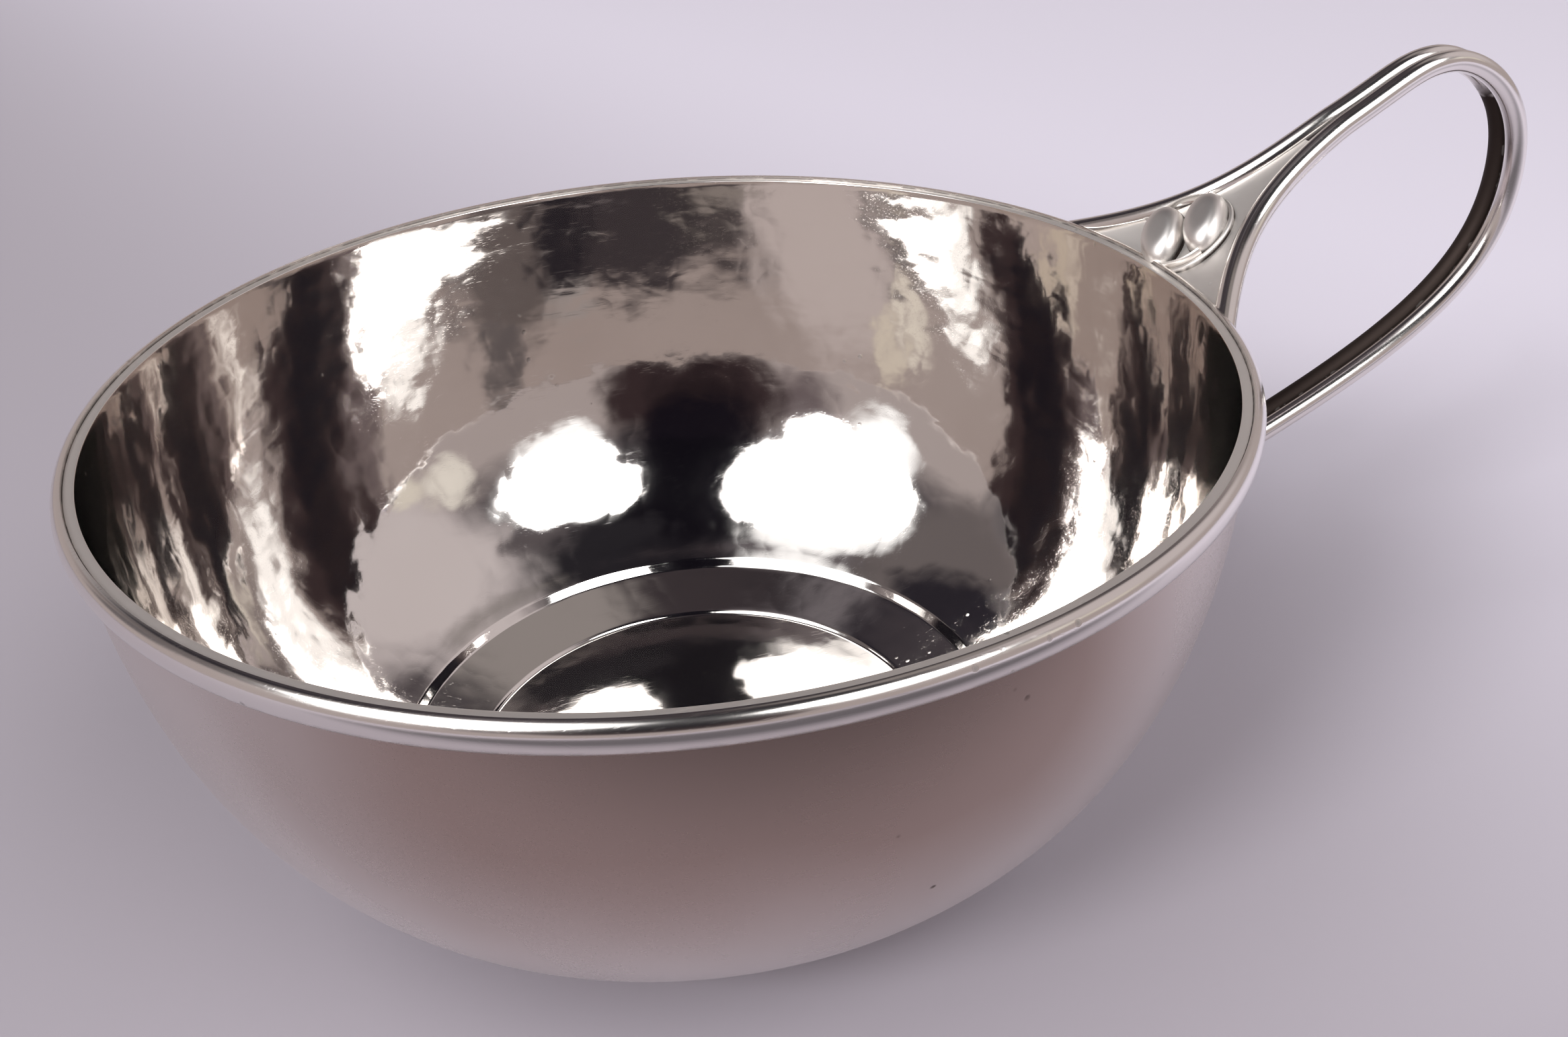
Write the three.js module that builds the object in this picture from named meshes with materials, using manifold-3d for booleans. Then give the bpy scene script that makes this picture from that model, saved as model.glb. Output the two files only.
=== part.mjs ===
// Porringer: a raised silver bowl with an applied rim wire and one looped handle of two wires.
// Millimetres, Z up. The bowl is centred on the Z axis, stands on z = 0, and its handle points along +X.

import * as THREE from 'three';
import { mergeVertices } from 'three/addons/utils/BufferGeometryUtils.js';
import Module from 'manifold-3d';

const wasm = await Module();
wasm.setup();

// Bowl
const LIP_INNER_R = 57.0; // inside radius at the lip
const SHEET = 1.05; // thickness of the sheet
const LIP_HEIGHT = 54.0; // lip over the surface that the bowl stands on
const CURVE_FLOOR = 1.5; // height at which the wall's curve, carried on, would close
const WALL_FULLNESS_DOWN = 2.28; // exponent: how long the wall stays upright under the lip
const WALL_FULLNESS_OUT = 3.26; // exponent: how full the belly is over the step
const STEP_HEIGHT = 6.3; // outer crease over the base
const STEP_RUN = 4.9; // from the crease in to the edge of the base
const CREASE_SOFTNESS = 1.1; // length of each bend's legs at the crease
const BASE_SOFTNESS = 1.9; // the same at the edge of the base

// Rim wire: half-round, flat back against the wall
const RIM_HEIGHT = 3.1;
const RIM_BULGE = 1.2; // how far it stands out from its back
const RIM_PROUD = 0.35; // how far its top stands over the lip

// Joints
const SEAM = 0.1; // between faces that lie against each other
const SOLDER = 0.3; // where the end or edge of a piece meets another

// Handle wires, side by side round the loop, spread apart to land on the rim. The left one, which is
// the one on the +Y side, lands wider than the right one.
const WIRE_D = 2.5;
const LEFT_SPREAD = 18.5; // along the rim, from the middle plane to the wire's centre
const RIGHT_SPREAD = 15.0;
const FLARE_LENGTH = 40.0; // along the loop, from the rim to where the wires lie side by side
const FLARE_CURVE = 4.5; // exponent of the spread

// The loop's centre line in the middle plane: distance out from the lip's outer face, and over the lip
const LANDING_DROP = 0.3; // under the middle of the rim wire
const LANDING_ANGLE = 46; // degrees, at the rim
const LEG_OUT = 22.05; // end of the rising leg
const LEG_UP = 13.7;
const LEG_ANGLE = 25.7; // degrees
const TOP_OUT = 34.9; // highest point
const TOP_UP = 18.8;
const FAR_OUT = 47.2; // outermost point
const FAR_UP = 4.1;
const FOOT_HEIGHT = 20.1; // lower end on the wall, over the base
const FOOT_ANGLE = 21.8; // degrees, at which the lower leg leaves the wall
// Reach of each tangent of the four cubic curves that the loop is made of
const LANDING_REACH = 7.6;
const LEG_REACH = [3.2, 8.0];
const TOP_REACH = [4.0, 4.0];
const FAR_REACH = [10.4, 17.5];
const FOOT_REACH = 38.0;

// Plate that fills the fork between the wires
const PLATE_THICKNESS = 1.0;
const PLATE_RISE = 0.3; // its upper face over the wires' centres
const PLATE_TIP = 0.25; // distance of each edge from the middle plane where the plate ends

// Boss on the plate: two lobes in a collar that is wider on its right side
const BOSS_OUT = 6.1; // its centre along the loop from the rim
const BOSS_ASIDE = 1.2; // its centre to the left of the middle plane
const COLLAR_R = 4.75;
const COLLAR_HEIGHT = 0.8;
const COLLAR_WIDTH = 0.9; // mean width of the collar
const COLLAR_SWELL = 0.5; // how much wider and narrower it is on its two sides
const LOBE_LENGTH = 5.8;
const LOBE_HEIGHT = 3.0;
const LOBE_CLEARANCE = 0.25; // between the lobes, and from each lobe to the collar
const RIDGE_ANGLE = 45; // degrees that the line between the lobes leans outwards along the loop

// Facets
const ROUND_STEPS = 72; // round the bowl
const WALL_STEPS = 16;
const BEND_STEPS = 3;
const RIM_STEPS = 9;
const WIRE_STEPS = 76; // along each handle wire
const WIRE_SIDES = 12;
const PLATE_STEPS = 16;
const PLATE_CROSS_STEPS = 6;
const COLLAR_STEPS = 40;
const DOME_STEPS = 6;
const DOME_SIDES = 28;

const LIP_OUTER_R = LIP_INNER_R + SHEET;
const RIM_BACK_R = LIP_OUTER_R + SEAM;
const RIM_MIDDLE_Z = LIP_HEIGHT + RIM_PROUD - RIM_HEIGHT / 2;
const WIRE_R = WIRE_D / 2;
const PAIR_HALF = WIRE_R + SEAM / 2;
const OVERRUN = 4.0; // how far a body runs on past the face that it is cut by

// Radius of the bowl's outer face at height z
function wallRadius(z) {
  const depth = (LIP_HEIGHT - z) / (LIP_HEIGHT - CURVE_FLOOR);
  return LIP_OUTER_R * (1 - depth ** WALL_FULLNESS_DOWN) ** (1 / WALL_FULLNESS_OUT);
}

// Outer face from the axis to the lip: flat base, flank of the step, then the belly and wall
function outerFace() {
  const creaseR = wallRadius(STEP_HEIGHT);
  const edge = new THREE.Vector2(creaseR - STEP_RUN, 0);
  const crease = new THREE.Vector2(creaseR, STEP_HEIGHT);
  const flank = crease.clone().sub(edge).normalize();
  const wallStart = STEP_HEIGHT + CREASE_SOFTNESS / 2;
  const path = new THREE.Path();
  path.moveTo(0, 0);
  path.lineTo(edge.x - BASE_SOFTNESS, 0);
  const up = edge.clone().addScaledVector(flank, BASE_SOFTNESS);
  path.quadraticCurveTo(edge.x, edge.y, up.x, up.y);
  const under = crease.clone().addScaledVector(flank, -CREASE_SOFTNESS);
  path.lineTo(under.x, under.y);
  path.quadraticCurveTo(crease.x, crease.y, wallRadius(wallStart), wallStart);
  const points = path.getPoints(BEND_STEPS);
  for (let i = 1; i <= WALL_STEPS; i++) {
    // Steps crowd towards the step, where the wall bends most
    const z = wallStart + (LIP_HEIGHT - wallStart) * (i / WALL_STEPS) ** 1.5;
    points.push(new THREE.Vector2(wallRadius(z), z));
  }
  return points;
}

// Line parallel to an open profile, on its left for a positive distance
function parallel(points, distance) {
  const normals = points.slice(1).map((p, i) => {
    const along = p.clone().sub(points[i]).normalize();
    return new THREE.Vector2(-along.y, along.x);
  });
  return points.map((p, i) => {
    const before = normals[Math.max(i - 1, 0)];
    const after = normals[Math.min(i, normals.length - 1)];
    const mitre = before.clone().add(after).normalize();
    return p.clone().addScaledVector(mitre, distance / mitre.dot(after));
  });
}

// Turn a profile of (radius, height) points round the Z axis
function turned(profile, steps) {
  const geometry = new THREE.LatheGeometry(profile, steps);
  geometry.rotateX(Math.PI / 2);
  return geometry;
}

// Skin sections of equal point counts in order. An open run is capped at both ends.
function loft(sections, closed) {
  const count = sections[0].length;
  const rows = sections.length;
  const index = [];
  for (let i = 0; i < (closed ? rows : rows - 1); i++) {
    const next = (i + 1) % rows;
    for (let j = 0; j < count; j++) {
      const side = (j + 1) % count;
      const a = i * count + j;
      const b = i * count + side;
      const c = next * count + side;
      const d = next * count + j;
      index.push(a, b, c, a, c, d);
    }
  }
  const last = (rows - 1) * count;
  for (let j = 1; !closed && j + 1 < count; j++) {
    index.push(0, j + 1, j, last, last + j, last + j + 1);
  }
  const geometry = new THREE.BufferGeometry();
  const positions = sections.flat().flatMap((point) => point.toArray());
  geometry.setAttribute('position', new THREE.Float32BufferAttribute(positions, 3));
  geometry.setIndex(index);
  geometry.computeVertexNormals();
  return geometry;
}

function toManifold(geometry) {
  const bare = geometry.clone();
  bare.deleteAttribute('normal');
  bare.deleteAttribute('uv');
  const merged = mergeVertices(bare, 1e-4);
  const corners = merged.index.array;
  const triangles = [];
  for (let i = 0; i < corners.length; i += 3) {
    const [a, b, c] = corners.slice(i, i + 3);
    // A triangle that touches the axis twice has closed up in the merge
    if (a !== b && b !== c && c !== a) {
      triangles.push(a, b, c);
    }
  }
  return new wasm.Manifold(new wasm.Mesh({
    numProp: 3,
    vertProperties: new Float32Array(merged.attributes.position.array),
    triVerts: new Uint32Array(triangles),
  }));
}

function subtract(geometry, cutter) {
  const mesh = toManifold(geometry).subtract(toManifold(cutter)).getMesh();
  const cut = new THREE.BufferGeometry();
  cut.setAttribute('position', new THREE.BufferAttribute(mesh.vertProperties, 3));
  cut.setIndex(new THREE.BufferAttribute(mesh.triVerts, 1));
  cut.computeVertexNormals();
  return cut;
}

// Half-round section of the rim wire, grown by a clearance, from its underside round to its top
function rimSection(clearance) {
  const bulge = new THREE.EllipseCurve(RIM_BACK_R, RIM_MIDDLE_Z,
    RIM_BULGE + clearance, RIM_HEIGHT / 2 + clearance, -Math.PI / 2, Math.PI / 2);
  return bulge.getPoints(RIM_STEPS);
}

// Solid that a piece of the handle is cut by: the bowl, a solder gap larger, up to the given outline
// of its rim, and from there on straight up
function bowlClearance(rim) {
  const wall = parallel(outerFace(), -SOLDER).filter((p) => p.y < rim[0].y);
  const last = rim[rim.length - 1];
  const top = LIP_HEIGHT + RIM_HEIGHT + OVERRUN;
  const over = [new THREE.Vector2(last.x, top), new THREE.Vector2(0, top)];
  return turned([...wall, ...rim, ...over], ROUND_STEPS);
}

// Centre line of the loop in the middle plane, as (x, z) points. It starts inside the rim wire and ends
// inside the wall, where the pieces that follow it are cut.
function loopLine() {
  const place = (out, up) => new THREE.Vector2(LIP_OUTER_R + out, LIP_HEIGHT + up);
  const reach = (point, degrees, length) => {
    const angle = THREE.MathUtils.degToRad(degrees);
    return point.clone().add(new THREE.Vector2(Math.cos(angle), Math.sin(angle)).multiplyScalar(length));
  };
  const landing = new THREE.Vector2(RIM_BACK_R + RIM_BULGE / 2, RIM_MIDDLE_Z - LANDING_DROP);
  const leg = place(LEG_OUT, LEG_UP);
  const top = place(TOP_OUT, TOP_UP);
  const far = place(FAR_OUT, FAR_UP);
  const foot = new THREE.Vector2(wallRadius(FOOT_HEIGHT) - SHEET, FOOT_HEIGHT);
  const line = new THREE.CurvePath();
  line.add(new THREE.LineCurve(reach(landing, LANDING_ANGLE, -OVERRUN), landing));
  line.add(new THREE.CubicBezierCurve(landing, reach(landing, LANDING_ANGLE, LANDING_REACH),
    reach(leg, LEG_ANGLE, -LEG_REACH[0]), leg));
  line.add(new THREE.CubicBezierCurve(leg, reach(leg, LEG_ANGLE, LEG_REACH[1]),
    reach(top, 0, -TOP_REACH[0]), top));
  line.add(new THREE.CubicBezierCurve(top, reach(top, 0, TOP_REACH[1]),
    reach(far, 90, FAR_REACH[0]), far));
  line.add(new THREE.CubicBezierCurve(far, reach(far, 90, -FAR_REACH[1]),
    reach(foot, FOOT_ANGLE, FOOT_REACH), foot));
  return line;
}

const LOOP = loopLine();
const LOOP_LENGTH = LOOP.getLength();

// Point on the surface that the handle follows. It is the loop's line swept round the bowl's axis:
// out is the distance along the line from the rim, aside the distance to the left along the arc round
// the axis, and over the height above the surface.
function onHandle(out, aside, over) {
  const t = (out + OVERRUN) / LOOP_LENGTH;
  const line = LOOP.getPoint(t);
  const along = LOOP.getTangent(t);
  const radius = line.x - along.y * over;
  const turn = aside / line.x;
  return new THREE.Vector3(radius * Math.cos(turn), radius * Math.sin(turn), line.y + along.x * over);
}

// Distance of a wire's centre from the middle plane, for a wire that lands with the given spread
function wireAside(spread, out) {
  const open = Math.max(1 - out / FLARE_LENGTH, 0);
  return PAIR_HALF + (spread - PAIR_HALF) * open ** FLARE_CURVE;
}

// Distance of the plate's edge from the middle plane: up to the wire, less the solder gap
function plateAside(spread, out) {
  const step = 0.01;
  const slope = (wireAside(spread, out + step) - wireAside(spread, out)) / step;
  return wireAside(spread, out) - (WIRE_R + SOLDER) * Math.sqrt(1 + slope ** 2);
}

function plateLength() {
  const step = 0.05;
  let end = 0;
  while (Math.min(plateAside(LEFT_SPREAD, end), plateAside(RIGHT_SPREAD, end)) > PLATE_TIP) {
    end += step;
  }
  return end;
}

class HandleWireCurve extends THREE.Curve {
  constructor(spread, side) {
    super();
    this.spread = spread;
    this.side = side;
  }

  getPoint(t, target = new THREE.Vector3()) {
    const out = t * LOOP_LENGTH - OVERRUN;
    return target.copy(onHandle(out, this.side * wireAside(this.spread, out), 0));
  }
}

function bowlGeometry() {
  const outer = outerFace();
  const inner = parallel(outer, SHEET).reverse();
  return turned([...outer, ...inner], ROUND_STEPS);
}

function rimGeometry() {
  const section = rimSection(0);
  return turned([...section, section[0].clone()], ROUND_STEPS);
}

function handleWireGeometry(spread, side) {
  const section = new THREE.Shape().absarc(0, 0, WIRE_R, 0, 2 * Math.PI);
  const wire = new THREE.ExtrudeGeometry(section, {
    steps: WIRE_STEPS,
    curveSegments: WIRE_SIDES / 2,
    extrudePath: new HandleWireCurve(spread, side),
  });
  // Each wire ends on the outermost face of the rim wire
  const rimEdge = new THREE.Vector2(RIM_BACK_R + RIM_BULGE + SOLDER, RIM_MIDDLE_Z - RIM_HEIGHT / 2 - OVERRUN);
  return subtract(wire, bowlClearance([rimEdge]));
}

// Sheet that follows the loop's surface, its edges along the wires and its inner edge on the rim wire
function plateGeometry() {
  const length = plateLength();
  const under = PLATE_RISE - PLATE_THICKNESS;
  const sections = [];
  for (let i = -1; i <= PLATE_STEPS; i++) {
    const out = length * i / PLATE_STEPS;
    const left = plateAside(LEFT_SPREAD, out);
    const right = -plateAside(RIGHT_SPREAD, out);
    const section = [];
    for (let j = 0; j <= PLATE_CROSS_STEPS; j++) {
      section.push([left + (right - left) * j / PLATE_CROSS_STEPS, PLATE_RISE]);
    }
    const back = section.map(([aside]) => [aside, under]).reverse();
    sections.push([...section, ...back].map(([aside, over]) => onHandle(out, aside, over)));
  }
  return subtract(loft(sections, false), bowlClearance(rimSection(SOLDER)));
}

// Lay a piece modelled flat, with +X along the loop, on the plate
function laidOnPlate(geometry) {
  const position = geometry.getAttribute('position');
  for (let i = 0; i < position.count; i++) {
    const over = PLATE_RISE + SEAM + position.getZ(i);
    const point = onHandle(BOSS_OUT + position.getX(i), BOSS_ASIDE + position.getY(i), over);
    position.setXYZ(i, point.x, point.y, point.z);
  }
  geometry.computeVertexNormals();
  return geometry;
}

// Ring of half-round section, widest on its right side
function collarGeometry() {
  const sections = [];
  for (let i = 0; i < COLLAR_STEPS; i++) {
    const turn = 2 * Math.PI * i / COLLAR_STEPS;
    const width = COLLAR_WIDTH - COLLAR_SWELL * Math.sin(turn);
    const middle = COLLAR_R - width / 2;
    const section = new THREE.EllipseCurve(middle, 0, width / 2, COLLAR_HEIGHT, Math.PI, 0, true);
    sections.push(section.getPoints(DOME_STEPS).map((p) => {
      return new THREE.Vector3(p.x * Math.cos(turn), p.x * Math.sin(turn), p.y);
    }));
  }
  return laidOnPlate(loft(sections, true));
}

// Oval dome on one side of the line between the lobes. The two and their clearances fill the collar's
// opening, which lies off centre by the swell.
function lobeGeometry(side) {
  const halfWidth = (COLLAR_R - COLLAR_WIDTH - 1.5 * LOBE_CLEARANCE) / 2;
  const dome = new THREE.EllipseCurve(0, 0, halfWidth, LOBE_HEIGHT, 0, Math.PI / 2);
  const geometry = turned([new THREE.Vector2(0, 0), ...dome.getPoints(DOME_STEPS)], DOME_SIDES);
  geometry.scale(1, LOBE_LENGTH / 2 / halfWidth, 1);
  geometry.translate(side * (halfWidth + LOBE_CLEARANCE / 2), 0, 0);
  geometry.rotateZ(-THREE.MathUtils.degToRad(RIDGE_ANGLE));
  geometry.translate(0, COLLAR_SWELL, 0);
  return laidOnPlate(geometry);
}

function silver(color, roughness) {
  return new THREE.MeshStandardMaterial({ color, roughness, metalness: 1.0 });
}

function piece(name, geometry, material) {
  const mesh = new THREE.Mesh(geometry, material);
  mesh.name = name;
  return mesh;
}

const porringer = new THREE.Group();
porringer.add(piece('bowl', bowlGeometry(), silver(0xbfb6b2, 0.22)));
porringer.add(piece('rim_wire', rimGeometry(), silver(0xc9c2bd, 0.18)));
porringer.add(piece('handle_wire_left', handleWireGeometry(LEFT_SPREAD, 1), silver(0xc6bfba, 0.15)));
porringer.add(piece('handle_wire_right', handleWireGeometry(RIGHT_SPREAD, -1), silver(0xc6bfba, 0.15)));
porringer.add(piece('handle_plate', plateGeometry(), silver(0xcbbfba, 0.3)));
porringer.add(piece('boss_collar', collarGeometry(), silver(0xb8b0aa, 0.2)));
porringer.add(piece('boss_lobe_inner', lobeGeometry(-1), silver(0xc2c0b6, 0.16)));
porringer.add(piece('boss_lobe_outer', lobeGeometry(1), silver(0xc2c0b6, 0.16)));

export default porringer;
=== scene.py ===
"""Dress a raised silver porringer: bowl, rim wire and a looped handle of two wires with a boss.

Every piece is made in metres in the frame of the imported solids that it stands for.
"""

import math
from bisect import bisect_right

import bmesh
import bpy
from bpy.props import FloatProperty, FloatVectorProperty, IntProperty, PointerProperty
from mathutils import Matrix, Vector, noise
from mathutils.geometry import interpolate_bezier


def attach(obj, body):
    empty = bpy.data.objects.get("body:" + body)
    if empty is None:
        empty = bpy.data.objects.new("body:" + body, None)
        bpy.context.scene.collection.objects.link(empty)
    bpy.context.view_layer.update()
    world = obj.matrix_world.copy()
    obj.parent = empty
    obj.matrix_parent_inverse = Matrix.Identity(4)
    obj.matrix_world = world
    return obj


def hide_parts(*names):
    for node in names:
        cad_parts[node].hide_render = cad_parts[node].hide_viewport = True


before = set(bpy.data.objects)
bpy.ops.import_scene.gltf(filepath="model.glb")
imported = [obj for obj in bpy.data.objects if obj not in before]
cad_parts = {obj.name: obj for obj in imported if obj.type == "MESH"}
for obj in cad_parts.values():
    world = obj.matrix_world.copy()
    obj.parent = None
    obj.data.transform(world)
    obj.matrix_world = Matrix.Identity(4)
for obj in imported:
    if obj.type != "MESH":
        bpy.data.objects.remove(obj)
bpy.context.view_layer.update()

bl_info = {
    "name": "Silver Porringer",
    "version": (1, 0, 0),
    "blender": (4, 5, 0),
    "location": "3D View > Sidebar > Porringer",
    "description": "Builds a planished silver porringer with a wire handle and its studio",
    "category": "Add Mesh",
}

MM = 0.001
MICRON = 0.000001
BODY = "root"
TARNISH_AND_SHADE = "tarnish_and_shade"  # vertex attribute for how dark a place is: dark seams, and painted shade in creases and low on the rim wire
BASE_POINTS = 12  # points of the underside's line from the axis outwards
BEND_POINTS = 7  # points of each bend at the foot of the bowl
WALL_POINTS = 80  # points of the wall's line from the foot to the lip
LIP_POINTS = 5  # points of each bend at the lip
LEDGE_STEPS = 9  # steps of the ledge's line
CROWDING = 1.3  # exponent that crowds points towards the start of a line
FOOT_REACH = 0.90  # how far the inner wall runs on down towards the ledge
WELL_SOFTNESS, LEDGE_SOFTNESS = 0.3 * MM, 0.22 * MM  # bends of the two steps inside
WELD = 1e-7  # verts closer together than this become one
SHARP = math.radians(40)  # edges over this angle stay crisp


def length(name, description, millimetres):
    """Property for a length, given in millimetres and kept in metres."""
    return FloatProperty(name=name, description=description, default=millimetres * MM,
                         unit="LENGTH", subtype="DISTANCE", precision=5)


def angle(name, description, degrees):
    """Property for an angle, given in degrees and kept in radians."""
    return FloatProperty(name=name, description=description, default=math.radians(degrees),
                         unit="ROTATION", subtype="ANGLE")


def share(name, description, default, high=1.0):
    """Property for a plain number from 0."""
    return FloatProperty(name=name, description=description, default=default, min=0.0, max=high)


def colour(name, description, default):
    """Property for a colour in linear light."""
    return FloatVectorProperty(name=name, description=description, default=default,
                               subtype="COLOR", size=3, min=0.0, max=1.0)


class PorringerBowl(bpy.types.PropertyGroup):
    """Sizes of the raised bowl."""

    lip_radius: length("Lip radius", "Inside radius at the lip", 57.0)
    sheet: length("Sheet", "Thickness of the silver sheet", 1.05)
    height: length("Height", "Height of the lip over the table", 54.0)
    curve_floor: length("Curve floor", "Height at which the wall's curve would close", 1.5)
    fullness_down: share("Fullness down", "How long the wall stays upright under the lip",
                         2.28, 10.0)
    fullness_out: share("Fullness out", "How full the belly is over the step", 3.26, 10.0)
    step_height: length("Step height", "Height of the outer crease over the table", 6.3)
    step_run: length("Step run", "From the outer crease in to the edge of the base", 4.9)
    crease_softness: length("Crease softness", "Length of the bend at the outer crease", 1.1)
    base_softness: length("Base softness", "Length of the bend at the edge of the base", 1.9)
    well_radius: length("Well radius", "Radius of the round floor inside", 27.2)
    well_height: length("Well height", "Height of the floor's edge over the table", 3.45)
    well_step: length("Well step", "Height of the small step round the floor", 0.35)
    ledge_radius: length("Ledge radius", "Radius of the step at the foot of the wall", 34.4)
    ledge_height: length("Ledge height", "Height of the lower side of that step", 6.4)
    floor_dome: length("Floor dome", "Rise of the middle of the floor inside", 0.35)
    lip_softness: length("Lip softness", "Rounding of the lip's two edges", 0.14)
    mark: length("Hammer mark", "Width of one mark of the planishing hammer", 4.6)
    mark_depth: length("Mark depth", "Depth of one mark on the inside", 0.018)
    waviness: length("Waviness", "Depth of the slow unevenness of the wall", 0.05)
    around: IntProperty(name="Steps around", default=420, min=32, max=720,
                        description="Faces round the bowl")


class PorringerRim(bpy.types.PropertyGroup):
    """Sizes of the half-round wire under the lip."""

    seam: length("Seam", "Width of the solder seam between lip and wire", 0.1)
    height: length("Height", "Height of the rim wire", 3.1)
    bulge: length("Bulge", "How far the wire stands out from its flat back", 1.18)
    proud: length("Proud", "How far the wire's top stands over the lip", 0.35)


class PorringerHandle(bpy.types.PropertyGroup):
    """Sizes of the two handle wires and of the line that they follow."""

    wire: length("Wire", "Diameter of the handle wires", 2.5)
    seam: length("Seam", "Gap between the wires where they lie side by side", 0.1)
    left_spread: length("Left spread", "Left wire's landing, from the middle along the rim", 18.5)
    right_spread: length("Right spread", "Right wire's landing, in the same way", 15.0)
    flare_length: length("Flare length", "From the rim to where the wires lie side by side", 40.0)
    flare_curve: share("Flare curve", "Exponent of the spread", 4.5, 10.0)
    landing_drop: length("Landing drop", "Landing under the middle of the rim wire", 0.3)
    landing_angle: angle("Landing angle", "Rise of the handle at the rim", 46.0)
    leg_out: length("Leg out", "End of the rising leg, out from the lip", 22.05)
    leg_up: length("Leg up", "End of the rising leg, over the lip", 13.7)
    leg_angle: angle("Leg angle", "Rise at the end of the leg", 25.7)
    top_out: length("Top out", "Highest point, out from the lip", 34.9)
    top_up: length("Top up", "Highest point, over the lip", 18.78)
    far_out: length("Far out", "Outermost point, out from the lip", 47.185)
    far_up: length("Far up", "Outermost point, over the lip", 4.1)
    foot_height: length("Foot height", "Lower end on the wall, over the table", 20.1)
    foot_angle: angle("Foot angle", "Rise at which the lower leg leaves the wall", 21.8)


class PorringerPlate(bpy.types.PropertyGroup):
    """Sizes of the sheet that fills the fork."""

    thickness: length("Thickness", "Thickness of the plate", 0.9)
    rise: length("Rise", "Upper face over the wires' centres", 0.3)
    inner_lift: length("Inner lift", "Rise of the plate's inner edge on to the rim wire", 0.35)


class PorringerBoss(bpy.types.PropertyGroup):
    """Sizes of the ornament on the plate."""

    out: length("Out", "Centre of the boss along the loop from the rim", 5.7)
    aside: length("Aside", "Centre of the boss to the left of the middle", 1.7)
    radius: length("Radius", "Outer radius of the husk round the lobes", 5.6)
    husk_width: length("Husk width", "Mean width of the husk", 0.95)
    husk_swell: length("Husk swell", "How much wider the husk is on its right side", 0.55)
    husk_height: length("Husk height", "Height of the husk over the plate", 1.2)
    lobe_length: length("Lobe length", "Length of each lobe", 8.8)
    lobe_height: length("Lobe height", "Height of each lobe over the plate", 2.5)
    ridge_angle: angle("Ridge angle", "Lean of the line between the lobes", 45.0)


class PorringerFinish(bpy.types.PropertyGroup):
    """Colours and wear of the silver."""

    silver: colour("Silver", "Colour of clean silver", (0.90, 0.865, 0.835))
    # film also colours the painted shade under the outside rim
    film: colour("Film", "Colour of the thin tarnish film", (0.46, 0.355, 0.315))
    # dark also colours the painted shade in creases and low on the rim wire
    dark: colour("Dark", "Colour of tarnish in grooves and pits", (0.06, 0.045, 0.04))
    inside_roughness: share("Inside roughness", "Roughness of the polished inside", 0.05)
    outside_roughness: share("Outside roughness", "Roughness of the satin outside", 0.26)
    boss_roughness: share("Boss roughness", "Roughness of the cast boss", 0.40)
    plate_roughness: share("Plate roughness", "Roughness of the matt plate", 0.50)
    wire_roughness: share("Wire roughness", "Roughness of the drawn wires", 0.15)
    facet: length("Facet", "Width of the small facets between the hammer marks", 2.2)
    facet_depth: length("Facet depth", "Depth of the small facets", 0.012)


class PorringerStudio(bpy.types.PropertyGroup):
    """Floor, lamps and room of the plain studio."""

    # The two floor colours are lit and shaded tones of one paper: painted light.
    floor: colour("Floor", "Colour of the paper where it is brightest", (0.74, 0.70, 0.80))
    floor_shaded: colour("Floor in front", "Colour of the paper towards the front",
                        (0.39, 0.357, 0.402))
    lamp: share("Lamp", "Brightness of the soft boxes", 3.75, 50.0)
    glow: share("Glow", "Brightness of the soft edge round each soft box", 1.3, 50.0)
    room: share("Room", "Brightness of the dim room", 1.0, 10.0)
    distance: length("Distance", "From the bowl to each soft box", 2600.0)


# Lines that the pieces follow


def wall_radius(bowl, height):
    """Radius of the bowl's outer face at a height."""
    depth = (bowl.height - height) / (bowl.height - bowl.curve_floor)
    outer = bowl.lip_radius + bowl.sheet
    return outer * (1 - depth ** bowl.fullness_down) ** (1 / bowl.fullness_out)


def bend(start, corner, end, count):
    """Points of a soft corner between two straight lines."""
    first = start + (corner - start) * 2 / 3
    second = end + (corner - end) * 2 / 3
    return [Vector(p) for p in interpolate_bezier(start, first, second, end, count)]


def outer_line(bowl):
    """Outer face from the axis to the lip, as (radius, height) points."""
    crease = Vector((wall_radius(bowl, bowl.step_height), bowl.step_height))
    edge = Vector((crease.x - bowl.step_run, 0.0))
    flank = (crease - edge).normalized()
    wall_start = bowl.step_height + bowl.crease_softness / 2
    line = [Vector((edge.x * i / BASE_POINTS, 0.0)) for i in range(BASE_POINTS)]
    line += bend(Vector((edge.x - bowl.base_softness, 0.0)), edge,
                 edge + flank * bowl.base_softness, BEND_POINTS)
    line += bend(crease - flank * bowl.crease_softness, crease,
                 Vector((wall_radius(bowl, wall_start), wall_start)), BEND_POINTS)
    for i in range(1, WALL_POINTS + 1):
        height = wall_start + (bowl.height - wall_start) * (i / WALL_POINTS) ** CROWDING
        line.append(Vector((wall_radius(bowl, height), height)))
    return line


def rounded(corners, soft, count=5):
    """Line through some points, each corner but the ends bent over a short length."""
    line = [corners[0]]
    for before, corner, after in zip(corners, corners[1:], corners[2:]):
        reach_in = min(soft, (corner - before).length * 0.45)
        reach_out = min(soft, (after - corner).length * 0.45)
        line += bend(corner + (before - corner).normalized() * reach_in, corner,
                     corner + (after - corner).normalized() * reach_out, count)
    return line + [corners[-1]]


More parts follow.
